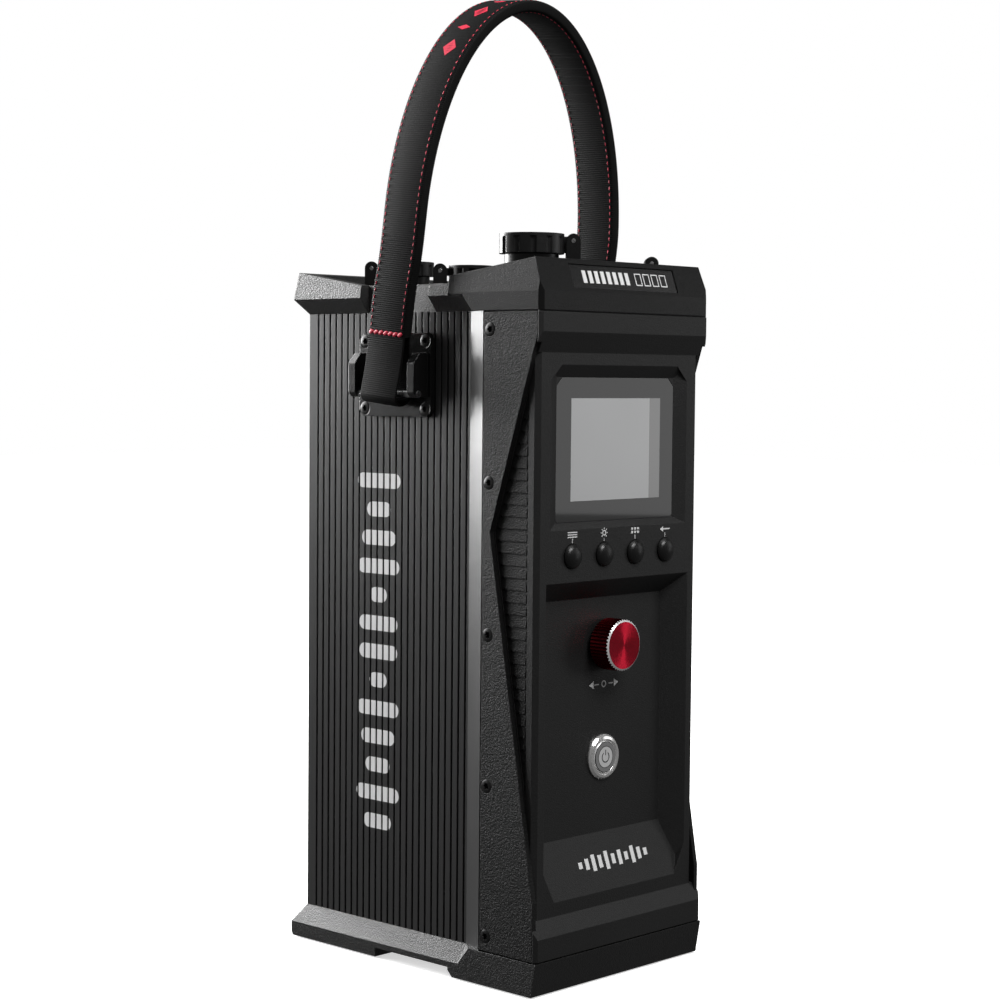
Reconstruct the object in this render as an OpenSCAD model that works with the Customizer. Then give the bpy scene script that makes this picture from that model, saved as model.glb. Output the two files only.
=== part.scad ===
// Control box of an LED studio light: ribbed sides, front control panel, capped sockets, webbing strap.
// Millimetres. X runs across the front, -Y is the front, +Z is up, the floor is Z = 0.

/* [Body] */
// Width across the base, the cheeks and the trims
body_w = 122.4; // [112:0.2:150]
// Depth from the front bands to the rear trim
body_d = 170.6; // [150:0.2:210]
// Height of the seam between the body and its top trim
seam_h = 319.4; // [300:0.2:390]
// Height of the base moulding
base_h = 16.8; // [14:0.2:22]
// How far the ribbed sides lie inside the trims
rib_inset = 5.8; // [4:0.1:8]
// Thickness of the ribbed aluminium walls
wall_t = 5.5; // [4.5:0.1:8]
// Pitch of the ribs
rib_pitch = 4.4; // [3.5:0.1:7]
// Width of the groove between two ribs
groove_w = 1.3; // [0.8:0.1:2]
// Depth of the groove between two ribs
groove_depth = 2.2; // [1:0.1:3]

/* [Front] */
// How far the control face lies behind the front bands
face_step = 3.9; // [2:0.1:6]
// Depth of the lower panel below the control face
panel_depth = 9.4; // [6:0.1:12]
// Depth of the display glass below the control face
glass_depth = 3.1; // [2:0.1:5]
// Wall thickness of the front moulding
shell_t = 2.6; // [2:0.1:3.4]
// Thickness of the cheek plates
cheek_t = 2.6; // [2:0.1:3.5]
// Distance from the front bands back to the cheeks' rear seam
cheek_depth = 36.8; // [34:0.2:44]
// Width of the display glass
glass_w = 85.4; // [78:0.2:90]
// Height of the display glass
glass_h = 67.9; // [60:0.2:72]
// Height of the display's centre above the floor
display_z = 254.6; // [250:0.2:258]

/* [Controls] */
// Diameter of a soft key
key_dia = 11.5; // [9:0.1:13]
// Spacing of the soft keys
key_pitch = 22.7; // [18:0.1:24]
// Height of the soft keys above the floor
key_z = 204.8; // [203:0.1:207]
// Diameter of the select knob
knob_dia = 25; // [20:0.2:30]
// Height of the select knob above the floor
knob_z = 160.6; // [150:0.2:165]
// Diameter of the power switch's bezel
power_dia = 22; // [19:0.2:24]
// Height of the power switch above the floor
power_z = 105.4; // [95:0.2:115]

/* [Sockets] */
// Diameter of the head socket's cap
head_cap_dia = 31; // [28:0.2:32]
// Diameter of the mains socket's cap
mains_cap_dia = 27; // [24:0.2:29]
// Diameter of the battery socket's cap
dc_cap_dia = 27; // [24:0.2:29]
// Diameter of the data sockets' caps
data_cap_dia = 22; // [20:0.2:23]
// Distance of the sockets from the middle of the deck
socket_x = 30; // [28:0.2:32]

/* [Strap] */
// Width of the webbing
strap_w = 25.4; // [20:0.2:30]
// Thickness of the padded webbing
strap_t = 6; // [4:0.1:7]
// How far the strap's outer face stands out beyond the body's sides, at the bars
strap_out = 8.8; // [8:0.2:20]
// How much further out the legs stand where the arch begins
strap_bulge = 3.1; // [0:0.1:6]
// Length of the strap's legs above the bars
strap_leg = 77; // [77:0.5:95]
// Height of the arch above the legs
strap_rise = 119.5; // [90:0.5:130]
// Forward lean of the legs in degrees
strap_foot_lean = 11; // [6:0.2:11]
// Forward lean of the arch in degrees
strap_lean = 5.2; // [0:0.2:6]
// Depth position of the strap brackets
strap_y = 14; // [8:0.2:18]
// Diameter of the bar that the strap loops round
bar_dia = 3.6; // [3:0.1:3.8]

/* [Hidden] */

$fn = 64;
eps = 0.01;
fit = 0.05;          // radial clearance of a running or screwed fit
gap = 0.3;           // clearance between pieces that move or just pass each other

// Planes of the body
hw = body_w / 2;
yf = -body_d / 2;
yr = body_d / 2;
rib_x = hw - rib_inset;
wall_x = rib_x - wall_t;
ext_rear = yr - rib_inset;
seam_y = yf + cheek_depth;
strip_y = seam_y + 13.7;
face_y = yf + face_step;
panel_y = face_y + panel_depth;
panel_back = panel_y + shell_t;
glass_y = face_y + glass_depth;
side_x = hw - cheek_t;
cheek_front = yf + 2.1;
seam_gap = 0.7;      // open height of the seams above and below the front moulding
seam_in = 1.6;         // depth of those seams

// Base
foot_clear = 0.8;
shoulder_z = 8;
channel_z = 5.2;
channel_front = yf + 57.3;
channel_rear = yf + 107.9;
floor_z = channel_z + shell_t;
mitre_y = strip_y;
pad_x = hw - 17;
pad_y = yr - 20;

// Front moulding
corner_c = 2.2;
top_band_z = seam_h - 9.9;
top_slope_z = seam_h - 19.4;
low_band_z = base_h + 11.2;
low_slope_z = base_h + 19.2;
recess_hw = hw - 9.2;
board_hw = hw - 11.2;
key_hollow_hw = hw - 15.2;
recess_top = key_z - 12.2;
ramp_top = 69;
ramp_foot = 42.5;
ramp_corner_z = 60.6;
key_back = face_y + shell_t;
board_y = panel_back + 6.8;
board_t = 1.6;
board_z0 = power_z + power_dia / 2 + 8;
board_z1 = display_z + glass_h / 2 + 4;
lcd_w = 70;
lcd_h = 55;

// Cheeks, louvres and their screws
apex_y = seam_y - 5.3;
apex_z = 216;
notch_top = seam_h - 11.4;
notch_low = base_h + 28.2;
screw_y = seam_y - 4.4;
screw_n = 5;
screw_low = base_h + 7.6;
screw_high = seam_h - 8.8;
louvre_front = face_y + 5.9;
louvre_pitch = 5.7;
louvre_inset = 0.9;
slot_y = [2.2, 1];     // a drain slot's ends, measured in from the inlay's rear edge
slot_h = 0.9;
louvre_lip = 0.4;    // how far a lip stands out
louvre_land = 0.5;   // flat at the lip's edge
screw_r = 1.5;
head_r = 3.4;

// Top
trim_low = seam_h + 7.4;
rail_z = seam_h + 13.2;
rail_rear_z = seam_h + 21;
deck_z = seam_h + 11.6;
deck_t = 2;
deck_hw = hw - 7.4;
ledge_hw = hw - 13.2;
deck_front = yf + 61;
deck_rear = yr - 7.5;
notch_front = strap_y - 25.5;
notch_rear = strap_y + 22;
hood_crease = seam_h + 8.7;
hood_front_z = seam_h + 24.3;
hood_rear_z = seam_h + 16.7;
hood_top_y = yf + 5.5;
tray_z = seam_h + 14.6;
hood_lean = atan((hood_top_y - yf) / (hood_front_z - hood_crease));
badge_w = 76;
badge_h = 11.6;
deck_screw_y = [deck_front + 7, deck_rear - 7];

// Sockets: [x, y, seat height, underside of the cap, cap height, pin height, cap r, neck r, hinge angle]
socket_y = yf + 35.3;
data_y = yf + 75.3;
dc_y = yf + 120.3;
head_s = [-socket_x, socket_y, tray_z, seam_h + 27.6, 9.5, 6.3, head_cap_dia / 2, 13, -45];
mains_s = [socket_x, socket_y - 1, tray_z, seam_h + 19.6, 6, 6, mains_cap_dia / 2, 11.4, -45];
data_in_s = [-socket_x, data_y, deck_z, seam_h + 17.6, 5.5, 3, data_cap_dia / 2, 9, 135];
data_out_s = [socket_x, data_y, deck_z, seam_h + 17.6, 5.5, 3, data_cap_dia / 2, 9, 45];
dc_s = [-socket_x, dc_y, deck_z, seam_h + 19.1, 7, 3.8, dc_cap_dia / 2, 11.4, 135];
sockets = [head_s, mains_s, data_in_s, data_out_s, dc_s];
socket_wall = 2.5;
socket_drop = 13;
plug_recess = 3;
contact_drop = 8;
seat_step = 0.6;
recess_step = 0.5;
ear_r = 3.4;
pin_r = 1;
knuckle_w = 4;
ear_t = 1.6;

// Strap and brackets
plate_t = 3;
plate_face = rib_x + plate_t;
bar_z = seam_h - 39.4;
loop_r = 5.6;
web_t = 1.2;
strap_reach = hw + strap_out;
arch_hw = strap_reach + strap_bulge;
strap_bend = 75;     // length along the leg at which the lean changes
leg_foot = 10;
leg_full = 50;       // length along the leg at which it stands out fully
bar_x = strap_reach - loop_r;
bracket_z = seam_h - 30.3;
bracket_w = 50;
bracket_h = 40.5;
post_w = 4.6;
post_h = 21.2;
post_out = bar_x + 3.4;
anchor_dy = bracket_w / 2 - 4;
anchor_dz = bracket_h / 2 - 3.8;

// Inside
chassis_x = 14;
pcb_x = chassis_x - 8;

// Shared shapes

// Extrudes a (y, z) outline along X over +-half
module along_x(half) {
    rotate([90, 0, 90]) translate([0, 0, -half]) linear_extrude(2 * half) children();
}

// Extrudes an (x, z) outline along Y from y0 to y1
module along_y(y0, y1) {
    translate([0, y1, 0]) rotate([90, 0, 0]) linear_extrude(y1 - y0) children();
}

// Box between two corners
module box(low, high) {
    translate(low) cube(high - low);
}

// Cylinder along Y from y0 to y1 at (x, z)
module rod_y(x, z, r, y0, y1) {
    translate([x, y0, z]) rotate([-90, 0, 0]) cylinder(r = r, h = y1 - y0);
}

// Cylinder along X from x0 to x1 at (y, z)
module rod_x(y, z, r, x0, x1) {
    translate([x0, y, z]) rotate([0, 90, 0]) cylinder(r = r, h = x1 - x0);
}

// Countersunk screw along -Z with its head's top at Z = 0
module screw(length, r = screw_r, head = head_r) {
    translate([0, 0, -length]) cylinder(r = r, h = length);
    difference() {
        translate([0, 0, r - head]) cylinder(r1 = r, r2 = head, h = head - r);
        translate([0, 0, -1.2]) cylinder(r = 1.4, h = 1.2 + eps, $fn = 6);
    }
}

// Hole that the countersunk screw drops into
module screw_hole(length, r = screw_r, head = head_r) {
    translate([0, 0, -length]) cylinder(r = r + fit, h = length + 1);
    translate([0, 0, r - head]) cylinder(r1 = r + fit, r2 = head + fit, h = head - r);
    translate([0, 0, -eps]) cylinder(r = head + fit, h = 1);
}

// Places children at each screw of one cheek, with +Z pointing out of the side
module at_cheek_screws(side) {
    for (i = [0 : screw_n - 1])
        translate([side * hw, screw_y, screw_low + i * (screw_high - screw_low) / (screw_n - 1)])
            rotate([0, side * 90, 0]) children();
}

module at_anchor_screws(side) {
    for (j = [-1, 1], k = [-1, 1])
        translate([side * plate_face, strap_y + j * anchor_dy, bracket_z + k * anchor_dz])
            rotate([0, side * 90, 0]) children();
}

module at_deck_screws() {
    for (i = [-1, 1], y = deck_screw_y)
        translate([i * (deck_hw + ledge_hw) / 2, y, deck_z]) children();
}

module at_rear_screws() {
    for (i = [-1, 1], z = [base_h + 14, (base_h + seam_h) / 2, seam_h - 14])
        translate([i * (wall_x - 3), ext_rear, z]) rotate([-90, 0, 0]) children();
}

// Base

module pad_outline(grow = 0) {
    square([30 - 16, 16 + 2 * grow], center = true);
    for (i = [-1, 1]) translate([i * 7, 0]) circle(r = 8 + grow);
}

module at_pads() {
    for (i = [-1, 1], j = [-1, 1]) translate([i * pad_x, j * pad_y, 0]) children();
}

// Part of the base that the sloped shoulder removes on one side
module shoulder_cut(side) {
    along_y(mitre_y, yr + 1) polygon([[side * hw, shoulder_z], [side * (hw + 1), shoulder_z],
        [side * (hw + 1), base_h + 1], [side * (rib_x - 1), base_h + 1],
        [side * rib_x, base_h]]);
    polyhedron(points = [[side * (hw + eps), mitre_y + eps, shoulder_z],
            [side * rib_x, mitre_y + eps, base_h + eps],
            [side * (hw + eps), mitre_y - 7, base_h + eps],
            [side * (hw + eps), mitre_y + eps, base_h + eps]],
        faces = side > 0 ? [[0, 1, 2], [0, 3, 1], [1, 3, 2], [0, 2, 3]]
            : [[2, 1, 0], [1, 3, 0], [2, 3, 1], [3, 2, 0]]);
}

module base_tray() color("#1a1a1c") difference() {
    along_x(hw) polygon([[yf + 2.8, foot_clear], [channel_front - 3, foot_clear],
        [channel_front, foot_clear + 3], [channel_front, channel_z], [channel_rear, channel_z],
        [channel_rear, foot_clear], [yr - 1, foot_clear], [yr, foot_clear + 2], [yr, shoulder_z],
        [ext_rear, base_h], [yf, base_h]]);
    for (side = [-1, 1]) shoulder_cut(side);
    box([-side_x + 8, yf + 6, floor_z], [side_x - 8, ext_rear - wall_t - 4, base_h + 1]);
    at_pads() translate([0, 0, foot_clear - 1]) linear_extrude(1.8) pad_outline(fit);
}

module foot_pads() color("#101010") at_pads() linear_extrude(foot_clear + 0.8) pad_outline();

// Ribbed walls

// Outline in plan of one ribbed side wall, for the +X side
module heatsink_outline() {
    difference() {
        polygon([[side_x, seam_y], [hw, seam_y], [rib_x, strip_y], [rib_x, ext_rear],
            [wall_x, ext_rear], [wall_x, ext_rear - wall_t], [wall_x - 6, ext_rear - wall_t],
            [wall_x - 6, ext_rear - wall_t - 3], [wall_x, ext_rear - wall_t - 3],
            [wall_x, strip_y - 2], [side_x - 4, seam_y]]);
        for (y = [strip_y + groove_w : rib_pitch : ext_rear - wall_t])
            translate([rib_x - groove_depth, y]) square([groove_depth + 1, groove_w]);
    }
}

module heatsink(side) difference() {
    mirror([side < 0 ? 1 : 0, 0, 0])
        translate([0, 0, base_h]) linear_extrude(seam_h - base_h) heatsink_outline();
    at_anchor_screws(side) screw_hole(9);
    at_rear_screws() screw_hole(12);
}

module heatsink_left() color("#2b2c2f") heatsink(-1);

module heatsink_right() color("#2b2c2f") heatsink(1);

module rear_panel() color("#2b2c2f") difference() {
    box([-wall_x, ext_rear - wall_t, base_h], [wall_x, ext_rear, seam_h]);
    for (x = [-wall_x + 8 : rib_pitch : wall_x - 8 - groove_w])
        box([x, ext_rear - groove_depth, base_h - 1], [x + groove_w, ext_rear + 1, seam_h + 1]);
    at_rear_screws() screw_hole(12);
}

module rear_screws() color("#202022") at_rear_screws() screw(8);

// Front moulding

module recess_walls(top_hw, floor_hw, depth) {
    linear_extrude(seam_h) polygon([[-top_hw - 1, face_y - 1], [top_hw + 1, face_y - 1],
        [floor_hw, face_y + depth], [-floor_hw, face_y + depth]]);
}

module lower_recess() intersection() {
    recess_walls(recess_hw, recess_hw - panel_depth, panel_depth);
    along_x(hw) polygon([[face_y - 1, recess_top + 1], [panel_y, recess_top - panel_depth],
        [panel_y, ramp_top], [face_y, ramp_foot], [face_y - 1, ramp_foot - 2.8]]);
    along_y(face_y - 2, panel_y + 1) polygon([[-recess_hw - 2, ramp_corner_z],
        [-recess_hw + panel_depth, ramp_foot - 3], [recess_hw - panel_depth, ramp_foot - 3],
        [recess_hw + 2, ramp_corner_z], [recess_hw + 2, recess_top + 2],
        [-recess_hw - 2, recess_top + 2]]);
}

// Outline of the glass in (x, z), grown by g, with its corners cut
module glass_outline(g = 0, top_cut = 4, low_cut = 1.2) {
    w = glass_w / 2 + g;
    h = glass_h / 2 + g;
    translate([0, display_z]) polygon([[-w + low_cut, -h], [w - low_cut, -h], [w, -h + low_cut],
        [w, h - top_cut], [w - top_cut, h], [-w + top_cut, h], [-w, h - top_cut],
        [-w, -h + low_cut]]);
}

module display_recess() {
    frame_g = 8.2;
    top_z = display_z + glass_h / 2 + 0.2;
    low_z = display_z - glass_h / 2 - 0.2;
    intersection() {
        recess_walls(glass_w / 2 + frame_g, glass_w / 2 + 0.2, glass_depth);
        along_x(hw) polygon([[face_y - 1, top_z + 7.5], [glass_y, top_z],
            [glass_y, low_z], [face_y - 1, low_z - 4]]);
        along_y(face_y - 2, glass_y + 1) glass_outline(frame_g, 11, 2);
    }
    along_y(glass_y - 1, glass_y + 1.3) glass_outline(0.15);
    along_y(glass_y, panel_y) translate([0, display_z]) square([lcd_w + 5, lcd_h + 5], center = true);
}

module body_plan() {
    polygon([[-side_x, seam_y], [-side_x, face_y + corner_c], [-side_x + corner_c, face_y],
        [side_x - corner_c, face_y], [side_x, face_y + corner_c], [side_x, seam_y]]);
}

module band_plan() {
    polygon([[-hw, cheek_front], [-hw, yf + 1.6], [-hw + 1.6, yf], [hw - 1.6, yf], [hw, yf + 1.6],
        [hw, cheek_front], [side_x, cheek_front], [side_x, face_y + corner_c + 1],
        [-side_x, face_y + corner_c + 1], [-side_x, cheek_front]]);
}

// The "<" outline of one cheek in (y, z)
module cheek_outline() {
    rear = seam_y - 0.6;
    low = base_h + seam_gap;
    top = seam_h - seam_gap;
    polygon([[rear, low], [cheek_front + gap, low], [cheek_front + gap, notch_low],
        [apex_y, apex_z], [cheek_front + gap, notch_top], [cheek_front + gap, top], [rear, top]]);
}

// Height where an inlay shrunk by s meets its front edge, on the side of the notch that ends at z_end
function louvre_end(s, z_end) = apex_z + (z_end - apex_z)
    * (apex_y - louvre_inset - louvre_front - 2 * s) / (apex_y - cheek_front - gap);

// Depth position of the inlay's rear edge at height z
function louvre_rear(z) = apex_y - louvre_inset - (apex_y - louvre_inset - louvre_front)
    * (z - apex_z) / (louvre_end(0, z < apex_z ? notch_low : notch_top) - apex_z);

// Louvre inlay in (y, z), shrunk by s: it follows the "<" of the cheek
module louvre_outline(s = 0) {
    polygon([[louvre_front + s, louvre_end(s, notch_low)], [apex_y - louvre_inset - s, apex_z],
        [louvre_front + s, louvre_end(s, notch_top)]]);
}

module front_housing() color("#1f2022") difference() {
    union() {
        translate([0, 0, base_h]) linear_extrude(seam_h - base_h) body_plan();
        intersection() {
            linear_extrude(seam_h) band_plan();
            along_x(hw) union() {
                polygon([[face_y + 6.5, top_slope_z - 2], [face_y, top_slope_z],
                    [yf, top_band_z], [yf, seam_h - seam_gap], [yf + seam_in, seam_h - seam_gap],
                    [yf + seam_in, seam_h], [face_y + 6.5, seam_h]]);
                polygon([[face_y + 6.5, base_h], [yf + seam_in, base_h],
                    [yf + seam_in, base_h + seam_gap], [yf, base_h + seam_gap], [yf, low_band_z],
                    [face_y, low_slope_z], [face_y + 6.5, low_slope_z + 2]]);
            }
        }
    }
    lower_recess();
    display_recess();
    // Hollows behind the panel, the display and the keys
    box([-side_x + 3, panel_back, base_h + 3], [side_x - 3, screw_y - 4, seam_h - 3]);
    box([-side_x + 9, screw_y - 5, base_h + 3], [side_x - 9, seam_y + 1, seam_h - 3]);
    box([-board_hw, glass_y + 3.8, recess_top + 24], [board_hw, panel_back + 1, seam_h - 9]);
    box([-key_hollow_hw, key_back, key_z - 7.4], [key_hollow_hw, panel_back + 1, key_z + 7.4]);
    for (i = [0 : 3]) rod_y((i - 1.5) * key_pitch, key_z, key_dia / 2 + 0.2, face_y - 1, key_back + 1);
    rod_y(0, knob_z, 3.5 + fit, panel_y - 1, panel_back + 1);
    rod_y(0, power_z, power_dia / 2 - 1.5 + fit, panel_y - 1, panel_back + 1);
    for (side = [-1, 1]) {
        at_cheek_screws(side) screw_hole(9);
        translate([side * side_x, 0, 0]) mirror([side < 0 ? 1 : 0, 0, 0])
            rotate([90, 0, 90]) translate([0, 0, -1.4]) linear_extrude(2.4) louvre_outline(-0.15);
    }
}

module cheek(side) difference() {
    mirror([side < 0 ? 1 : 0, 0, 0]) translate([side_x, 0, 0]) rotate([90, 0, 90])
        linear_extrude(cheek_t) cheek_outline();
    at_cheek_screws(side) screw_hole(9);
}

module cheek_left() color("#242527") cheek(-1);

module cheek_right() color("#242527") cheek(1);

module cheek_screws() color("#141416") for (side = [-1, 1]) at_cheek_screws(side) screw(8);

// Inlay with horizontal louvre lips, each with a drain slot at its rear end
module louvre(side) mirror([side < 0 ? 1 : 0, 0, 0]) {
    lips = [for (z = louvre_end(0.6, notch_low) + 3; z < louvre_end(0.6, notch_top); z = z + louvre_pitch) z];
    difference() {
        union() {
            translate([side_x - 1.4, 0, 0]) rotate([90, 0, 90]) linear_extrude(1) louvre_outline();
            intersection() {
                translate([side_x - 1.4, 0, 0]) rotate([90, 0, 90]) linear_extrude(3)
                    louvre_outline(0.6);
                for (z = lips) along_y(louvre_front, apex_y) polygon([[side_x - 1, z],
                    [side_x - 0.4 + louvre_lip, z], [side_x - 0.4 + louvre_lip, z + louvre_land],
                    [side_x - 0.4 - eps, z + louvre_pitch - 0.6], [side_x - 1, z + louvre_pitch - 0.6]]);
            }
        }
        for (z = lips) if (louvre_rear(z) - slot_y[0] > louvre_front + 1)
            box([side_x - 2, louvre_rear(z) - slot_y[0], z - slot_h / 2],
                [side_x + 1, louvre_rear(z) - slot_y[1], z + slot_h / 2]);
    }
}

module louvre_left() color("#222325") louvre(-1);

module louvre_right() color("#222325") louvre(1);

// Top trim, deck and hood

module top_frame() color("#2c2d30") difference() {
    intersection() {
        along_y(yf, yr) polygon([[-rib_x, seam_h], [-hw, trim_low], [-hw + 2, rail_rear_z + 1],
            [hw - 2, rail_rear_z + 1], [hw, trim_low], [rib_x, seam_h]]);
        along_x(hw) polygon([[strip_y - 5.8, seam_h], [strip_y + 0.8, trim_low],
            [deck_front - gap, trim_low], [deck_front - gap, rail_z], [notch_rear, rail_z + 0.4],
            [yr - 2, rail_rear_z], [yr, trim_low], [ext_rear, seam_h]]);
    }
    box([-deck_hw, deck_front - 1, deck_z - deck_t], [deck_hw, deck_rear, rail_rear_z + 2]);
    box([-ledge_hw, deck_front + 3.5, seam_h - 1], [ledge_hw, deck_rear - 10, deck_z]);
    box([-ledge_hw, strip_y - 7, seam_h - 1], [ledge_hw, strip_y + 2, trim_low + 1]);
    for (side = [-1, 1])
        box([side > 0 ? rib_x : -hw - 1, notch_front, seam_h - 1],
            [side > 0 ? hw + 1 : -rib_x, notch_rear, rail_rear_z]);
    at_deck_screws() screw_hole(9, 1.5, 2.8);
}

module connector_deck() color("#17181a") difference() {
    box([-deck_hw + 0.2, deck_front + 0.2, deck_z - deck_t], [deck_hw - 0.2, deck_rear - 0.2, deck_z]);
    for (s = [data_in_s, data_out_s, dc_s]) translate([s[0], s[1], 0])
        cylinder(r = s[7] - 1 + fit, h = deck_z + 1);
    at_deck_screws() screw_hole(9, 1.5, 2.8);
}

module deck_screws() color("#3a3a3c") at_deck_screws() screw(8, 1.5, 2.8);

module hood_profile() {
    polygon([[yf, seam_h], [strip_y - 6.2, seam_h], [strip_y + 0.3, trim_low + gap],
        [deck_front - 2 * gap, trim_low + gap], [deck_front - 2 * gap, hood_rear_z],
        [yf + 43.4, hood_front_z - 5.2], [hood_top_y, hood_front_z], [yf, hood_crease]]);
}

// Frame of the hood's leaning front face: X across, Z up the face, +Y into the hood
module on_hood_face() {
    translate([0, yf, hood_crease]) rotate([-hood_lean, 0, 0]) children();
}

module front_cap() color("#1b1c1e") difference() {
    intersection() {
        along_x(hw) hood_profile();
        along_y(yf - 1, yr) polygon([[-hw, seam_h], [-hw, hood_crease], [-hw + 1.8, hood_front_z + 1],
            [hw - 1.8, hood_front_z + 1], [hw, hood_crease], [hw, seam_h]]);
        linear_extrude(2 * seam_h) polygon([[-hw, yr], [-hw, yf + 2], [-hw + 2, yf], [hw - 2, yf],
            [hw, yf + 2], [hw, yr]]);
    }
    box([-hw + 4, yf + 4, seam_h - 1], [hw - 4, yf + 40, tray_z - 2.5]);
    box([-hw + 5.5, hood_top_y + 3, tray_z], [hw - 5.5, deck_front - 3, hood_front_z + 2]);
    for (s = [head_s, mains_s]) translate([s[0], s[1], 0])
        cylinder(r = s[7] - 1 + fit, h = tray_z + 1);
    on_hood_face() translate([-badge_w / 2 - 0.2, -1, 2]) cube([badge_w + 0.4, 2.2, badge_h + 0.4]);
}

module badge_plate() color("#0c0c0d") on_hood_face()
    translate([-badge_w / 2, 0.4, 2.2]) cube([badge_w, 0.8, badge_h]);

// Display and board

module display_glass() color("#4a4c50") along_y(glass_y, glass_y + 1.2) glass_outline();

module display_panel() color("#9a9ca0") translate([0, 0, display_z])
    box([-lcd_w / 2, glass_y + 1.3, -lcd_h / 2], [lcd_w / 2, glass_y + 5.4, lcd_h / 2]);

module control_board() color("#1d5a34") difference() {
    box([-board_hw, board_y, board_z0], [board_hw, board_y + board_t, board_z1]);
    for (i = [-1, 1], z = [board_z0 + 4, board_z1 - 4])
        rod_y(i * (board_hw - 4), z, 1.6, board_y - 1, board_y + 3);
}

module at_keys() {
    for (i = [0 : 3]) translate([(i - 1.5) * key_pitch, 0, key_z]) children();
}

key_travel = 0.8;
key_tip = board_y - 9;

module tact_switches() color("#c8b060") at_keys() {
    box([-3, board_y - 3.5, -3], [3, board_y, 3]);
    rod_y(0, 0, 1.7, key_tip + key_travel + 0.1, board_y - 3.5);
}

// Domed key with a collar behind the face and a post to its switch
module key(i) translate([(i - 1.5) * key_pitch, 0, key_z]) {
    rotate([-90, 0, 0]) translate([0, 0, face_y]) rotate_extrude()
        polygon([[0, -3.3], [1.6, -3.2], [3.1, -2.9], [4.3, -2.35], [5.2, -1.6],
            [key_dia / 2, -0.6], [key_dia / 2, shell_t + 0.1], [key_dia / 2 + 1, shell_t + 0.1],
            [key_dia / 2 + 1, shell_t + 1.2], [2, shell_t + 1.2], [2, key_tip - face_y],
            [0, key_tip - face_y]]);
}

module button_1() color("#121213") key(0);

module button_2() color("#121213") key(1);

module button_3() color("#121213") key(2);

module button_4() color("#121213") key(3);

// Select knob

knob_face = yf + 0.1;
knob_back = panel_y - 1.5;
shaft_r = 3;

module knob() color("#c01830") translate([0, 0, knob_z]) difference() {
    rotate([-90, 0, 0]) union() {
        translate([0, 0, knob_face]) cylinder(r1 = knob_dia / 2 - 0.9, r2 = knob_dia / 2, h = 0.9);
        translate([0, 0, knob_face + 0.9]) cylinder(r = knob_dia / 2, h = knob_back - knob_face - 0.9);
    }
    rod_y(0, 0, 8, knob_back - 4, knob_back + 1);
    rod_y(0, 0, shaft_r + fit, knob_face + 1.8, knob_back);
}

module encoder_shaft() color("#b8b8bc")
    rod_y(0, knob_z, shaft_r, knob_face + 2.2, panel_back + 4.1);

module encoder_body() color("#8a8c90") difference() {
    union() {
        box([-6.2, panel_back, knob_z - 6.2], [6.2, board_y, knob_z + 6.2]);
        rod_y(0, knob_z, 3.5, panel_y - 4, panel_back);
    }
    rod_y(0, knob_z, shaft_r + fit, panel_y - 5, panel_back + 5);
}

module encoder_nut() color("#a8a8ac") difference() {
    translate([0, panel_y - 2.2, knob_z]) rotate([-90, 0, 0]) cylinder(r = 5.6, h = 2.2, $fn = 6);
    rod_y(0, knob_z, 3.5 + fit, panel_y - 3, panel_y + 1);
}

// Power switch

power_r = power_dia / 2;
barrel_r = power_r - 1.5;
plunger_r = power_r - 3.2;
barrel_end = panel_y + 24;

module power_bezel() color("#c8c8cc") translate([0, 0, power_z]) rotate([-90, 0, 0])
    translate([0, 0, panel_y]) rotate_extrude() polygon([[plunger_r + fit, -1.6],
        [plunger_r + 0.9, -2.2], [power_r - 1, -1.9], [power_r, -0.8], [power_r, 0], [barrel_r, 0],
        [barrel_r, 24], [0, 24], [0, 21], [plunger_r + fit, 21]]);

module power_button() color("#b0b2b6") translate([0, 0, power_z]) rotate([-90, 0, 0])
    translate([0, 0, panel_y]) rotate_extrude() polygon([[0, -2.1], [plunger_r - 0.5, -2.1],
        [plunger_r, -1.6], [plunger_r, 14], [0, 14]]);

module power_nut() color("#9a9ca0") difference() {
    translate([0, panel_back, power_z]) rotate([-90, 0, 0]) cylinder(r = power_r + 2, h = 3, $fn = 6);
    rod_y(0, power_z, barrel_r + fit, panel_back - 1, panel_back + 4);
}

// Capped sockets: s is one row of the sockets list

module at_socket(s) {
    translate([s[0], s[1], 0]) rotate([0, 0, s[8]]) children();
}

function hinge_r(s) = s[6] + 4.2;
function pin_z(s) = s[3] + s[5];
function well_floor(s) = s[3] - gap - plug_recess - contact_drop;

module socket(s) at_socket(s) difference() {
    union() {
        translate([0, 0, s[2] - socket_drop]) cylinder(r = s[7] - 1, h = socket_drop);
        translate([0, 0, s[2]]) cylinder(r = s[7] + 1.6, h = 1.6);
        translate([0, 0, s[2]]) cylinder(r = s[7], h = s[3] - gap - s[2]);
        for (i = [-1, 1]) translate([0, i * (knuckle_w / 2 + gap + ear_t / 2), 0]) {
            box([s[7] - 1.2, -ear_t / 2, s[2]], [hinge_r(s) + ear_r, ear_t / 2, s[2] + 2.4]);
            box([hinge_r(s) - ear_r, -ear_t / 2, s[2]], [hinge_r(s) + ear_r, ear_t / 2, pin_z(s)]);
            rod_y(hinge_r(s), pin_z(s), ear_r, -ear_t / 2, ear_t / 2);
        }
    }
    translate([0, 0, s[3] - gap - plug_recess])
        cylinder(r = s[7] - socket_wall + recess_step, h = plug_recess + 1);
    translate([0, 0, well_floor(s)]) cylinder(r = s[7] - socket_wall, h = contact_drop + 1);
    translate([0, 0, s[2] - socket_drop - 1])
        cylinder(r = s[7] - socket_wall - seat_step, h = well_floor(s) - s[2] + socket_drop + 2);
    rod_y(hinge_r(s), pin_z(s), pin_r, -10, 10);
}

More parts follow.
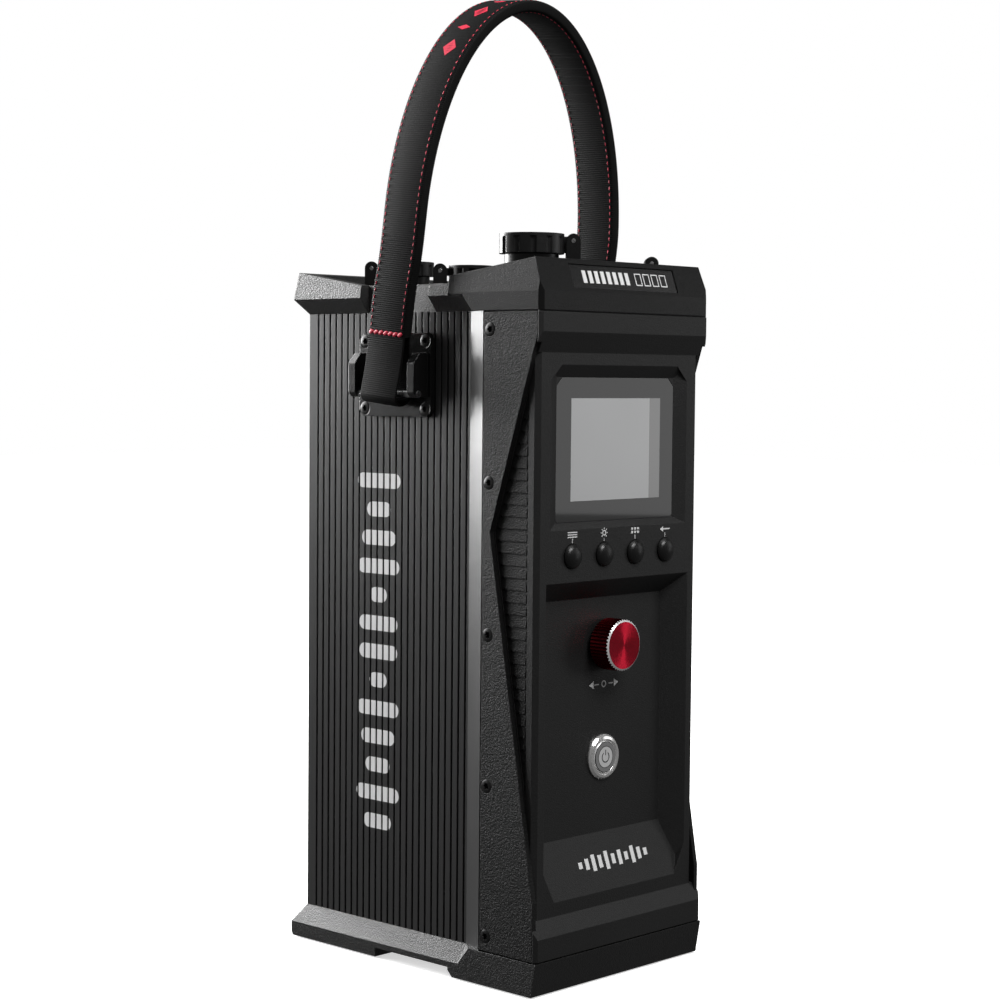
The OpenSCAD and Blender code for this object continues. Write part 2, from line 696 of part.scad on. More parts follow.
// Insulator with contact holes, seated on the step at the foot of the well
module contacts(s) at_socket(s) difference() {
    seat_r = s[7] - socket_wall - seat_step;
    top = well_floor(s) - gap;
    translate([0, 0, s[2] - socket_drop]) cylinder(r = seat_r, h = top - s[2] + socket_drop);
    for (a = [0 : 60 : 300]) rotate([0, 0, a]) translate([seat_r * 0.6, 0, top - 3])
        cylinder(r = 0.9, h = 4);
}

// Hinged dust cap: disc with grip flats, plug and hinge knuckle
module cap(s) at_socket(s) difference() {
    plug_r = s[7] - socket_wall - 1.1;
    union() {
        difference() {
            translate([0, 0, s[3]]) cylinder(r = s[6], h = s[4]);
            for (a = [30 : 30 : 330]) rotate([0, 0, a]) translate([s[6] + 0.9, 0, s[3] - 1])
                cylinder(r = 1.9, h = s[4] - 0.6);
            translate([0, 0, s[3] + s[4] - 0.8]) cylinder(r = s[6] - 3, h = 1);
        }
        translate([0, 0, s[3] - 2.6]) cylinder(r1 = plug_r - 0.6, r2 = plug_r, h = 2.6 + eps);
        box([s[6] - 3, -knuckle_w / 2, s[3] + 0.6], [hinge_r(s), knuckle_w / 2, s[3] + s[4] - 1.2]);
        rod_y(hinge_r(s), pin_z(s), ear_r - 0.2, -knuckle_w / 2, knuckle_w / 2);
    }
    rod_y(hinge_r(s), pin_z(s), pin_r + fit, -10, 10);
}

module cap_pins() color("#8c8e92") for (s = sockets) at_socket(s)
    rod_y(hinge_r(s), pin_z(s), pin_r, -knuckle_w / 2 - gap - ear_t, knuckle_w / 2 + gap + ear_t);

module head_socket() color("#202124") socket(head_s);

module head_contacts() color("#0d0d0e") contacts(head_s);

module head_cap() color("#161618") cap(head_s);

module mains_socket() color("#202124") socket(mains_s);

module mains_contacts() color("#0d0d0e") contacts(mains_s);

module mains_cap() color("#161618") cap(mains_s);

module data_in_socket() color("#202124") socket(data_in_s);

module data_in_contacts() color("#0d0d0e") contacts(data_in_s);

module data_in_cap() color("#161618") cap(data_in_s);

module data_out_socket() color("#202124") socket(data_out_s);

module data_out_contacts() color("#0d0d0e") contacts(data_out_s);

module data_out_cap() color("#161618") cap(data_out_s);

module dc_socket() color("#202124") socket(dc_s);

module dc_contacts() color("#0d0d0e") contacts(dc_s);

module dc_cap() color("#161618") cap(dc_s);

// Strap and its brackets

// Outline of the strap, shrunk by t, on legs that start at height low
function arch(t, low) = concat([[strap_reach - t, low], [arch_hw - t, leg_full]],
    [for (a = [0 : 4 : 180]) [(arch_hw - t) * cos(a), strap_leg + (strap_rise - t) * sin(a)]],
    [[t - arch_hw, leg_full], [t - strap_reach, low]]);

// The whole strap in one upright plane, with its bars' middles at Z = 0
module flat_strap() along_y(-strap_w / 2, strap_w / 2) difference() {
    union() {
        difference() {
            polygon(arch(0, leg_foot));
            polygon(arch(strap_t, leg_foot - eps));
        }
        for (side = [-1, 1]) hull() {
            translate([side * bar_x, 0]) circle(r = loop_r, $fn = 32);
            translate([side * (strap_reach - strap_t / 2), 16]) square([strap_t, 1], center = true);
        }
    }
    for (side = [-1, 1]) hull() {
        translate([side * bar_x, 0]) circle(r = loop_r - web_t, $fn = 32);
        translate([side * (strap_reach - strap_t / 2), 10]) square([0.6, 1], center = true);
    }
}

// Legs and arch lean by different angles and meet in a mitre
module strap() color("#141416") translate([0, strap_y, bar_z]) {
    mitre = (strap_foot_lean + strap_lean) / 2;
    bend = [0, -strap_bend * sin(strap_foot_lean), strap_bend * cos(strap_foot_lean)];
    intersection() {
        rotate([strap_foot_lean, 0, 0]) flat_strap();
        translate(bend) rotate([mitre, 0, 0]) box([-body_w, -strap_w, -body_w], [body_w, strap_w, 0]);
    }
    intersection() {
        translate(bend) rotate([strap_lean, 0, 0]) translate([0, 0, -strap_bend]) flat_strap();
        translate(bend) rotate([mitre, 0, 0]) box([-body_w, -strap_w, 0], [body_w, strap_w, body_d]);
    }
}

module anchor(side) difference() {
    mirror([side < 0 ? 1 : 0, 0, 0]) {
        translate([rib_x, strap_y, bracket_z]) rotate([90, 0, 90]) linear_extrude(plate_t) polygon([
            [-bracket_w / 2 + 3, -bracket_h / 2], [bracket_w / 2 - 3, -bracket_h / 2],
            [bracket_w / 2, -bracket_h / 2 + 3], [bracket_w / 2, bracket_h / 2 - 3],
            [bracket_w / 2 - 3, bracket_h / 2], [-bracket_w / 2 + 3, bracket_h / 2],
            [-bracket_w / 2, bracket_h / 2 - 3], [-bracket_w / 2, -bracket_h / 2 + 3]]);
        for (j = [-1, 1]) along_y(strap_y + j * 20.6 - post_w / 2, strap_y + j * 20.6 + post_w / 2)
            polygon([[plate_face, bracket_z - post_h / 2], [post_out - 2, bracket_z - post_h / 2],
                [post_out, bracket_z - post_h / 2 + 2], [post_out, bracket_z + post_h / 2 - 5],
                [post_out - 4, bracket_z + post_h / 2], [plate_face, bracket_z + post_h / 2]]);
    }
    rod_y(side * bar_x, bar_z, bar_dia / 2, strap_y - 30, strap_y + 30);
    at_anchor_screws(side) screw_hole(9);
}

module anchor_left() color("#0e0e10") anchor(-1);

module anchor_right() color("#0e0e10") anchor(1);

module strap_bars() color("#8c8e92") for (side = [-1, 1])
    rod_y(side * bar_x, bar_z, bar_dia / 2, strap_y - 20.6 - post_w / 2, strap_y + 20.6 + post_w / 2);

module anchor_screws() color("#2a2a2c") for (side = [-1, 1]) at_anchor_screws(side) screw(8);

// Inside

chassis_t = 2;
inner_front = seam_y + 5;
inner_rear = ext_rear - wall_t - 6;
pcb_low = floor_z + 22;
pcb_high = seam_h - 34;

module chassis_plate() color("#9da0a4") difference() {
    union() {
        box([chassis_x, inner_front, floor_z], [chassis_x + chassis_t, inner_rear, seam_h - 26]);
        box([chassis_x, inner_front, floor_z], [chassis_x + 24, inner_rear, floor_z + chassis_t]);
        for (y = [inner_front + 10, inner_rear - 10], z = [pcb_low + 10, pcb_high - 10])
            rod_x(y, z, 3, pcb_x + board_t, chassis_x + eps);
    }
    for (z = [120, 190]) rod_x(0, z, 9, chassis_x - 1, chassis_x + 4);
}

module power_board() color("#1d5a34")
    box([pcb_x, inner_front + 2, pcb_low], [pcb_x + board_t, inner_rear - 2, pcb_high]);

module transformer() color("#c9a23c") {
    box([pcb_x - 34, 6, pcb_low + 30], [pcb_x, 50, pcb_low + 42]);
    box([pcb_x - 34, 6, pcb_low + 68], [pcb_x, 50, pcb_low + 80]);
    translate([pcb_x - 17, 28, pcb_low + 42]) cylinder(r = 16, h = 26);
}

module capacitors() color("#2c3a5c") for (z = [pcb_low + 120, pcb_low + 158, pcb_low + 196])
    rod_x(28, z, 15, pcb_x - 38, pcb_x);

base_tray();
foot_pads();
heatsink_left();
heatsink_right();
rear_panel();
rear_screws();
front_housing();
cheek_left();
cheek_right();
louvre_left();
louvre_right();
cheek_screws();
top_frame();
connector_deck();
deck_screws();
front_cap();
badge_plate();
display_glass();
display_panel();
control_board();
tact_switches();
button_1();
button_2();
button_3();
button_4();
knob();
encoder_shaft();
encoder_body();
encoder_nut();
power_bezel();
power_button();
power_nut();
head_socket();
head_contacts();
head_cap();
mains_socket();
mains_contacts();
mains_cap();
data_in_socket();
data_in_contacts();
data_in_cap();
data_out_socket();
data_out_contacts();
data_out_cap();
dc_socket();
dc_contacts();
dc_cap();
cap_pins();
strap();
anchor_left();
anchor_right();
strap_bars();
anchor_screws();
chassis_plate();
power_board();
transformer();
capacitors();
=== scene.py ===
import math

import bmesh
import bpy
from mathutils import Matrix, Vector


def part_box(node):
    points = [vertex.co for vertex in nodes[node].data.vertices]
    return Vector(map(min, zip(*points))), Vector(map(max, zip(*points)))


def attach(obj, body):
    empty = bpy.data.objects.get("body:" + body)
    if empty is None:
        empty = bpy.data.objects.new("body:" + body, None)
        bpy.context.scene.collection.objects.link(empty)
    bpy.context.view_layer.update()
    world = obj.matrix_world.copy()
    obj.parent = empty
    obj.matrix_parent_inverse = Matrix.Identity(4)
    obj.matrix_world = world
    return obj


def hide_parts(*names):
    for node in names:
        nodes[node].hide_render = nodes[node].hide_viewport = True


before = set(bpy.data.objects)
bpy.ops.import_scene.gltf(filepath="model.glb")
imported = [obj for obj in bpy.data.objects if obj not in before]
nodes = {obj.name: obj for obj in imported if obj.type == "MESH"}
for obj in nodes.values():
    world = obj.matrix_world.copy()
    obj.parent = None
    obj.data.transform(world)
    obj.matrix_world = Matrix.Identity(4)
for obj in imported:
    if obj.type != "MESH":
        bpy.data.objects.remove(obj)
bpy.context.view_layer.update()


class Value:
    """A number on a socket. Its operators add Math nodes to its finish."""

    def __init__(self, finish, socket):
        self.finish, self.socket = finish, socket

    def fn(self, operation, *others):
        inputs = dict(enumerate((self, *others)))
        return self.finish.node("Math", {"operation": operation}, inputs)

    def __add__(self, other): return self.fn("ADD", other)
    __radd__ = __add__
    def __sub__(self, other): return self.fn("SUBTRACT", other)
    def __rsub__(self, other): return (self * -1) + other
    def __mul__(self, other): return self.fn("MULTIPLY", other)
    __rmul__ = __mul__
    def __truediv__(self, other): return self.fn("DIVIDE", other)
    def __pow__(self, other): return self.fn("POWER", other)
    def __gt__(self, other): return self.fn("GREATER_THAN", other)
    def __lt__(self, other): return self.fn("LESS_THAN", other)
    def __abs__(self): return self.fn("ABSOLUTE")


class Finish:
    """One material, or the surround. Every node that isn't plain maths comes from node()."""

    def __init__(self, name, surround=None):
        self.material = surround or bpy.data.materials.new(name)
        self.material.use_nodes = True
        self.tree = self.material.node_tree
        self.tree.nodes.clear()
        if not surround:
            self.place = self.node("TexCoord", out="Object")

    def node(self, kind, settings=(), inputs=(), out=0):
        made = self.tree.nodes.new("ShaderNode" + kind)
        for key, setting in dict(settings).items():
            setattr(made, key, setting)
        for key, given in dict(inputs).items():
            if isinstance(given, Value):
                self.tree.links.new(given.socket, made.inputs[key])
            else:
                made.inputs[key].default_value = given
        return Value(self, made.outputs[out])

    def axes(self):
        split = self.node("SeparateXYZ", inputs={0: self.place})
        outs = split.socket.node.outputs
        return Value(self, outs[0]), Value(self, outs[1]), Value(self, outs[2])

    def noise(self, size, detail=2.0, rough=0.5, place=None):
        return self.node("TexNoise", inputs={"Vector": place or self.place, "Scale": 1 / size,
                                             "Detail": detail, "Roughness": rough})

    def mix(self, share, a, b):
        return self.node("Mix", {"data_type": "RGBA"}, {0: share, 6: a, 7: b}, out=2)

    def bump(self, height, depth, normal=None):
        inputs = {"Height": height, "Distance": depth, "Strength": 1.0}
        if normal:
            inputs["Normal"] = normal
        return self.node("Bump", inputs=inputs)

    def edge(self, radius):
        return self.node("Bevel", {"samples": 4}, {"Radius": radius})

    def close(self, kind, shader):
        end = self.tree.nodes.new("ShaderNode" + kind)
        self.tree.links.new(shader.socket, end.inputs[0])

    def surface(self, **sockets):
        named = {key.replace("_", " "): given for key, given in sockets.items()}
        self.close("OutputMaterial", self.node("BsdfPrincipled", inputs=named))
        return self.material


def grey(level, warm=0.0):
    return (level * (1 + warm), level, level * (1 - warm), 1.0)


def dress(material, *names):
    for name in names:
        for slot in nodes[name].material_slots:
            slot.material = material


def moulded(name, tone, grain, depth, rough, shine=0.5):
    finish = Finish(name)
    edge_r = 0.0004
    coarse = finish.noise(grain, 1.5, 0.55)
    fine = finish.noise(grain * 0.42, 1.0, 0.5)
    cloud = finish.noise(0.045, 2.0, 0.5)
    height = coarse * 0.7 + fine * 0.3
    colour = finish.mix(cloud, grey(tone * 0.86), grey(tone * 1.14))
    return finish.surface(
        Base_Color=colour, Specular_IOR_Level=shine,
        Roughness=rough + (coarse - 0.5) * 0.3 + (cloud - 0.5) * 0.08,
        Normal=finish.bump(height, depth, finish.edge(edge_r)))


front_grain = moulded("fine_grained_shell", 0.006, 0.0006, 0.0002, 0.5, 0.45)
dress(front_grain, "front_housing")
hood_grain = moulded("fine_grained_hood", 0.005, 0.0006, 0.00014, 0.34, 0.2)
dress(hood_grain, "front_cap")
cheek_grain = moulded("pebbled_cheek", 0.005, 0.0008, 0.0005, 0.5, 0.22)
dress(cheek_grain, "cheek_left", "cheek_right", "louvre_left", "louvre_right")
base_grain = moulded("pebbled_base", 0.008, 0.0008, 0.0004, 0.45, 0.4)
dress(base_grain, "base_tray", "connector_deck")
# The trims are the same black paint as the shell. Their lighter tone is painted light, standing in
# for the light from behind the left shoulder that catches them.
trim_grain_painted_light = moulded("pebbled_trim_painted_light", 0.024, 0.0008, 0.00045, 0.42)
dress(trim_grain_painted_light, "top_frame")


# Ribbed extrusion
# Both sides and the back are black anodised aluminium extrusions with a satin face. A column
# of plain white bars is screen printed on the lands of each side.
def ribbed(name):
    finish = Finish(name)
    x, y, z = finish.axes()
    stretched = finish.node("Mapping", inputs={"Vector": finish.place, "Scale": (1, 1, 0.02)})
    drawn = finish.noise(0.0004, 2.0, 0.6, stretched)
    cloud = finish.noise(0.06, 2.0, 0.5)
    bar_pitch, bar_r, foot, top, middle = 0.01415, 0.0037, 0.060, 0.244, 0.0277
    shortest_half, added_half, land_x = 0.0048, 0.0105, 0.0551
    step = (z - foot) / bar_pitch
    row = step.fn("FLOOR")
    off_row = (step - row - 0.5) * bar_pitch
    half = abs((row * 1.13 + 0.5).fn("SINE")) * added_half + shortest_half
    off_end = (abs(y - middle) - half + bar_r).fn("MAXIMUM", 0.0)
    inside = (off_end * off_end + off_row * off_row).fn("SQRT") < bar_r
    printed = inside * (z > foot) * (z < top) * (abs(x) > land_x)
    worn = 1 - (finish.noise(0.0012, 3.0, 0.6) > 0.86) * 0.5
    colour = finish.mix(printed * worn, finish.mix(cloud, grey(0.044), grey(0.054)), grey(0.78))
    return finish.surface(
        Base_Color=colour, Metallic=(1 - printed) * 0.5,
        Roughness=0.36 + (drawn - 0.5) * 0.16 + printed * 0.16,
        Normal=finish.bump(drawn, 0.00003, finish.edge(0.00025)))


ribs = ribbed("ribbed_aluminium")
dress(ribs, "heatsink_left", "heatsink_right", "rear_panel")


# Rubber and gloss parts
# The feet and dust caps are soft black rubber; the strap brackets and keys are smoother,
# injection-moulded plastic.
def soft_rubber(name, tone, rough):
    finish = Finish(name)
    dust = finish.noise(0.004, 4.0, 0.6)
    skin = finish.noise(0.0005, 2.0, 0.5)
    return finish.surface(
        Base_Color=finish.mix(dust, grey(tone), grey(tone * 1.5)),
        Specular_IOR_Level=0.35, Roughness=rough + (dust - 0.5) * 0.16,
        Normal=finish.bump(skin, 0.00004, finish.edge(0.0005)))


cap_rubber = soft_rubber("cap_rubber", 0.006, 0.36)
dress(cap_rubber, "foot_pads", "head_cap", "mains_cap", "data_in_cap", "data_out_cap", "dc_cap")
bracket_gloss = soft_rubber("bracket_plastic", 0.004, 0.22)
dress(bracket_gloss, "anchor_left", "anchor_right", "badge_plate")
key_black = soft_rubber("key_rubber", 0.004, 0.34)
dress(key_black, "button_1", "button_2", "button_3", "button_4")


# Metal parts
# Sockets are black-coated metal, pins, bars and nuts plain steel, and the inner plate bare
# aluminium. The sockets' contact blocks and the lacquered boards go in with them.
def metal(name, colour, rough):
    finish = Finish(name)
    wear = finish.noise(0.0009, 3.0, 0.6)
    tone = finish.mix(wear, tuple(c * 0.7 for c in colour[:3]) + (1,), colour)
    return finish.surface(Base_Color=tone, Metallic=1.0, Roughness=rough + (wear - 0.5) * 0.12,
                          Normal=finish.bump(wear, 0.00001, finish.edge(0.0003)))


socket_metal = metal("socket_metal", grey(0.05), 0.35)
dress(socket_metal, "head_socket", "mains_socket", "data_in_socket", "data_out_socket", "dc_socket")
plain_steel = metal("plain_steel", grey(0.55), 0.28)
dress(plain_steel, "cap_pins", "strap_bars", "encoder_shaft", "encoder_body", "encoder_nut",
      "power_nut", "tact_switches", "display_panel")
insulator = soft_rubber("insulator", 0.02, 0.5)
dress(insulator, "head_contacts", "mains_contacts", "data_in_contacts", "data_out_contacts",
      "dc_contacts")
sheet_metal = metal("bare_aluminium", grey(0.6), 0.35)
dress(sheet_metal, "chassis_plate")
lacquer = soft_rubber("board_lacquer", 0.05, 0.3)
dress(lacquer, "control_board", "power_board", "transformer", "capacitors")


# Power switch
# A stainless push switch: a polished domed bezel, and a brushed plunger with a lamp ring and
# an engraved standby sign.
bezel_low, bezel_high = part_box("power_bezel")
switch_x, switch_z = (bezel_low.x + bezel_high.x) / 2, (bezel_low.z + bezel_high.z) / 2


def from_axis(finish, x0, z0):
    x, y, z = finish.axes()
    return ((x - x0) ** 2 + (z - z0) ** 2).fn("SQRT")


def polished(name):
    finish = Finish(name)
    smear = finish.noise(0.003, 3.0, 0.6)
    return finish.surface(Base_Color=finish.mix(smear, grey(0.8, 0.01), grey(0.9, 0.01)),
                          Metallic=0.8, Roughness=0.14 + (smear - 0.5) * 0.08,
                          Normal=finish.edge(0.0003))


dress(polished("polished_steel"), "power_bezel")


def brushed_plunger(name, x0, z0):
    finish = Finish(name)
    r = from_axis(finish, x0, z0)
    lamp_in, lamp_out, groove = 0.0052, 0.0074, 0.00018
    lamp = (r > lamp_in) * (r < lamp_out)
    ring = (abs(r - lamp_in) < groove) + (abs(r - lamp_out) < groove)
    brush = finish.node("Mapping", inputs={"Vector": finish.place, "Scale": (0.03, 1, 1)})
    lines = finish.noise(0.0002, 2.0, 0.6, brush)
    colour = finish.mix(ring, finish.mix(lamp, grey(0.85), grey(0.3)), grey(0.03))
    return finish.surface(Base_Color=colour, Metallic=0.6 - ring * 0.3,
                          Roughness=0.3 + lines * 0.15 + lamp * 0.1,
                          Normal=finish.bump(lines, 0.00001, finish.edge(0.0003)))


dress(brushed_plunger("brushed_plunger", switch_x, switch_z), "power_button")


def ink(name, colour):
    finish = Finish(name)
    patch = finish.noise(0.0006, 2.0, 0.5)
    thin = tuple(c * 0.85 for c in colour[:3]) + (1,)
    return finish.surface(Base_Color=finish.mix(patch, thin, colour),
                          Roughness=0.5 + (patch - 0.5) * 0.2)


dark_ink = ink("engraved_black", grey(0.02))
white_ink = ink("white_print", grey(0.72))
ink_half = 0.00006
scene = bpy.context.scene


def bar(bm, x, z, wide, tall, turn=0.0):
    at = Matrix.Translation((x, 0, z)) @ Matrix.Rotation(turn, 4, "Y")
    size = Matrix.Diagonal((wide, 2 * ink_half, tall, 1))
    bmesh.ops.create_cube(bm, size=1, matrix=at @ size)


def arc(bm, x, z, radius, stroke, sweep=2 * math.pi, start=0.0):
    """A ring, or a part of one, spun from its square section."""
    inner, outer = radius - stroke / 2, radius + stroke / 2
    square = [(inner, -ink_half), (outer, -ink_half), (outer, ink_half), (inner, ink_half)]
    at = Matrix.Translation((x, 0, z)) @ Matrix.Rotation(start, 4, "Y")
    corners = [bm.verts.new(at @ Vector((r, y, 0))) for r, y in square]
    face = bm.faces.new(corners)
    whole = abs(sweep - 2 * math.pi) < 1e-6
    geom = corners + list(face.edges) + ([] if whole else [face])
    if whole:
        bm.faces.remove(face)
    bmesh.ops.spin(bm, geom=geom, cent=(x, 0, z), axis=(0, 1, 0), angle=sweep, steps=40,
                   use_merge=whole)


def make(name, bm, materials, body, angle=38):
    bmesh.ops.recalc_face_normals(bm, faces=bm.faces)
    mesh = bpy.data.meshes.new(name)
    bm.to_mesh(mesh)
    bm.free()
    for material in materials:
        mesh.materials.append(material)
    mesh.shade_smooth()
    mesh.set_sharp_from_angle(angle=math.radians(angle))
    made = bpy.data.objects.new(name, mesh)
    scene.collection.objects.link(made)
    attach(made, body)
    return made


plunger_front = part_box("power_button")[0].y
bm = bmesh.new()
arc(bm, 0, 0, 0.0025, 0.0005, math.radians(290), math.radians(-55))
bar(bm, 0, 0.0022, 0.0005, 0.0026)
bm.transform(Matrix.Translation((switch_x, plunger_front, switch_z)))
make("standby_sign", bm, [dark_ink], "power_button")


# Select knob
# A turned aluminium knob, anodised red: a spun face, a bevel cut bright through the red,
# and straight knurling down the side. Half of the bevel's brightness is a painted reflection.
knob_low, knob_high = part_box("knob")
knob_x, knob_z = (knob_low.x + knob_high.x) / 2, (knob_low.z + knob_high.z) / 2
knob_r = (knob_high.x - knob_low.x) / 2


def spun_red(name, x0, z0):
    finish = Finish(name)
    x, y, z = finish.axes()
    dx, dz = x - x0, z - z0
    r = (dx * dx + dz * dz).fn("SQRT") + 0.00001
    wave = (r * (2 * math.pi / 0.00023)).fn("SINE") * 0.32
    normal = finish.node("CombineXYZ", inputs={0: dx / r * wave, 1: -1.0, 2: dz / r * wave})
    world = finish.node("VectorTransform", {"vector_type": "NORMAL", "convert_from": "OBJECT",
                                            "convert_to": "WORLD"}, {0: normal})
    unit = finish.node("VectorMath", {"operation": "NORMALIZE"}, {0: world})
    tone = finish.mix(finish.noise(0.002), (0.62, 0.012, 0.035, 1), (0.72, 0.018, 0.05, 1))
    return finish.surface(Base_Color=tone, Metallic=1.0, Roughness=0.24, Normal=unit)


def anodised_red(name):
    finish = Finish(name)
    patch = finish.noise(0.0007, 2.0, 0.5)
    tone = finish.mix(patch, (0.16, 0.003, 0.008, 1), (0.24, 0.005, 0.012, 1))
    return finish.surface(Base_Color=tone, Metallic=1.0, Roughness=0.3 + (patch - 0.5) * 0.1,
                          Normal=finish.bump(patch, 0.00001))


# The cut rim is only half metal. Its white diffuse half is a painted reflection, standing in for
# the pale floor in front that the real rim mirrors.
def bright_cut_painted_reflection(name):
    finish = Finish(name)
    patch = finish.noise(0.0005, 2.0, 0.5)
    return finish.surface(Base_Color=finish.mix(patch, grey(0.86), grey(0.95)), Metallic=0.5,
                          Roughness=0.25 + (patch - 0.5) * 0.1)


def turned(rings, steps):
    """Closed skin about Z through (radius, height) rings. A radius may vary with the angle,
    and a height with the radius."""
    bm = bmesh.new()
    bmesh.ops.create_circle(bm, cap_ends=False, radius=1, segments=steps)
    edges = bm.edges[:]
    for k, (radius, height) in enumerate(rings):
        if k:
            geom = bmesh.ops.extrude_edge_only(bm, edges=edges)["geom"]
            edges = [g for g in geom if isinstance(g, bmesh.types.BMEdge)]
        for v in {v for e in edges for v in e.verts}:
            angle = math.atan2(v.co.y, v.co.x)
            r = radius(angle) if callable(radius) else radius
            h = height(r) if callable(height) else height
            v.co = (r * math.cos(angle), r * math.sin(angle), h)
        if k == 0:
            bmesh.ops.edgeloop_fill(bm, edges=edges)
    bmesh.ops.edgeloop_fill(bm, edges=edges)
    return bm


knurls, hollow_r, hollow_deep, chamfer = 46, 0.008, 0.004, 0.00085
rim_r = knob_r - 0.0012
depth = knob_high.y - knob_low.y
knurl = lambda angle: knob_r - 0.00055 * (0.5 - 0.5 * math.cos(knurls * angle)) ** 0.7
bevel = lambda r: chamfer * (r - rim_r) / (knob_r - rim_r)
bm = turned([(0.0004, 0.00022), (0.0008, 0.0001), (rim_r - 0.0003, 0.0), (rim_r, 0.0),
             (knurl, bevel), (knurl, depth - 0.0006), (knob_r - 0.001, depth),
             (hollow_r, depth), (hollow_r, depth - hollow_deep)], knurls * 8)
for face in bm.faces:
    middle = face.calc_center_median()
    r = math.hypot(middle.x, middle.y)
    if middle.z < chamfer - 0.00005 and r < rim_r - 0.00001:
        face.material_index = 0
    elif middle.z < 0.0006:
        face.material_index = 2
    else:
        face.material_index = 1
bm.transform(Matrix.Translation((knob_x, knob_low.y, knob_z))
             @ Matrix.Rotation(-math.pi / 2, 4, "X"))
knob = make("select_knob", bm, [spun_red("spun_red", knob_x, knob_z), anodised_red("anodised_red"),
                                bright_cut_painted_reflection("cut_rim_painted_reflection")], "knob", 30)
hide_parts("knob")


# Display
# A flat glass with a grey printed border over a liquid-crystal panel that is switched off.
def display_glass(name):
    finish = Finish(name)
    x, y, z = finish.axes()
    left, right, low, high, band_left = -0.0322, 0.0329, 0.2304, 0.2788, 0.0249
    lit = (x > left) * (x < right) * (z > low) * (z < high)
    band = (x > band_left) * lit
    cloud = finish.noise(0.05, 1.0, 0.4)
    border = finish.mix(cloud, grey(0.016), grey(0.02))
    panel = finish.mix(band, finish.mix(cloud, grey(0.31, -0.01), grey(0.36, -0.01)), grey(0.17))
    return finish.surface(Base_Color=finish.mix(lit, border, panel), Roughness=0.5 - 0.3 * lit,
                          Specular_IOR_Level=0.3, Coat_Weight=0.6, Coat_Roughness=0.03,
                          Normal=finish.edge(0.0002))


dress(display_glass("display_glass"), "display_glass")


# Printed marks
# Small white signs on the control face: a sign and a tick over each key, turn arrows under
# the knob, and a row of plain bars on the plinth and the hood's plate.
face_set_back, panel_set_back = 0.0039, 0.0094
face_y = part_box("front_housing")[0].y + face_set_back
panel_y = face_y + panel_set_back
key_z = (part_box("button_1")[0].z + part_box("button_1")[1].z) / 2
key_x = [(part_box(f"button_{k}")[0].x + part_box(f"button_{k}")[1].x) / 2 for k in (1, 2, 3, 4)]
tick_z, dots_z, sign_z = key_z + 0.0074, key_z + 0.0096, key_z + 0.0102
ray_r = 0.0021


def arrow_head(bm, x, z, radius, turn):
    at = (Matrix.Translation((x, 0, z)) @ Matrix.Rotation(math.radians(turn), 4, "Y")
          @ Matrix.Rotation(math.pi / 2, 4, "X"))
    bmesh.ops.create_cone(bm, cap_ends=True, segments=3, radius1=radius, radius2=radius,
                          depth=2 * ink_half, matrix=at)


bm = bmesh.new()
for x in key_x:
    bar(bm, x, tick_z, 0.00035, 0.0022)
for k in (-1, 0, 1):
    bar(bm, key_x[0], sign_z + k * 0.0011, 0.0066, 0.0005)
arc(bm, key_x[1], sign_z, 0.0011, 0.0005)
for k in range(8):
    a = k * math.pi / 4
    bar(bm, key_x[1] + ray_r * math.sin(a), sign_z + ray_r * math.cos(a), 0.0004, 0.0008, a)
for i in (-1, 0, 1):
    for k in (0, 1):
        bar(bm, key_x[2] + i * 0.0022, dots_z + k * 0.0017, 0.0014, 0.0011)
arrow_head(bm, key_x[3] - 0.0022, sign_z, 0.0016, -90)
bar(bm, key_x[3] + 0.001, sign_z, 0.005, 0.0006)
bm.transform(Matrix.Translation((0, face_y, 0)))
make("key_signs", bm, [white_ink], "body")

turn_sign_x, turn_sign_z = knob_x + 0.0004, 0.1408
bm = bmesh.new()
arc(bm, 0, 0, 0.0014, 0.0006)
for side in (-1, 1):
    arrow_head(bm, side * 0.0085, 0, 0.0022, 90 * side)
    bar(bm, side * 0.0052, 0, 0.0032, 0.0006)
bm.transform(Matrix.Translation((turn_sign_x, panel_y, turn_sign_z)))
make("knob_signs", bm, [white_ink], "body")

plinth_x, plinth_z, plinth_rise = 0.0035, 0.05575, 0.0265
bar_shares = [0.35, 0.6, 0.9, 0.7, 1.0, 0.55, 0.8, 0.45, 0.95, 0.65, 0.4]
bm = bmesh.new()
for k, share in enumerate(bar_shares):
    bar(bm, (k - 5) * 0.0048, 0, 0.0026, 0.0088 * share)
slope = math.atan2(panel_set_back, plinth_rise)
middle = Vector((plinth_x, (face_y + panel_y) / 2, plinth_z))
bm.transform(Matrix.Translation(middle) @ Matrix.Rotation(-slope, 4, "X"))
make("plinth_bars", bm, [white_ink], "body")

hood_run, hood_rise, crease_up, badge_up, badge_in = 0.0055, 0.0156, 0.0087, 0.008, 0.0004
mark_high, block_wide, frame_half_x, frame_half_z = 0.0062, 0.0026, 0.0021, 0.00285
bm = bmesh.new()
for k in range(8):
    bar(bm, -0.0285 + k * 0.0044, 0, block_wide, mark_high)
for k in range(4):
    x = 0.0105 + k * 0.0062
    for side in (-1, 1):
        bar(bm, x + side * frame_half_x, 0, 0.0005, mark_high)
        bar(bm, x, side * frame_half_z, 2 * frame_half_x, 0.0005)
hood_front, hood_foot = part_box("front_cap")[0].y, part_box("front_cap")[0].z
at = (Matrix.Translation((0, hood_front, hood_foot + crease_up))
      @ Matrix.Rotation(-math.atan2(hood_run, hood_rise), 4, "X"))
bm.transform(at @ Matrix.Translation((0, badge_in, badge_up)))
make("badge_bars", bm, [white_ink], "body")


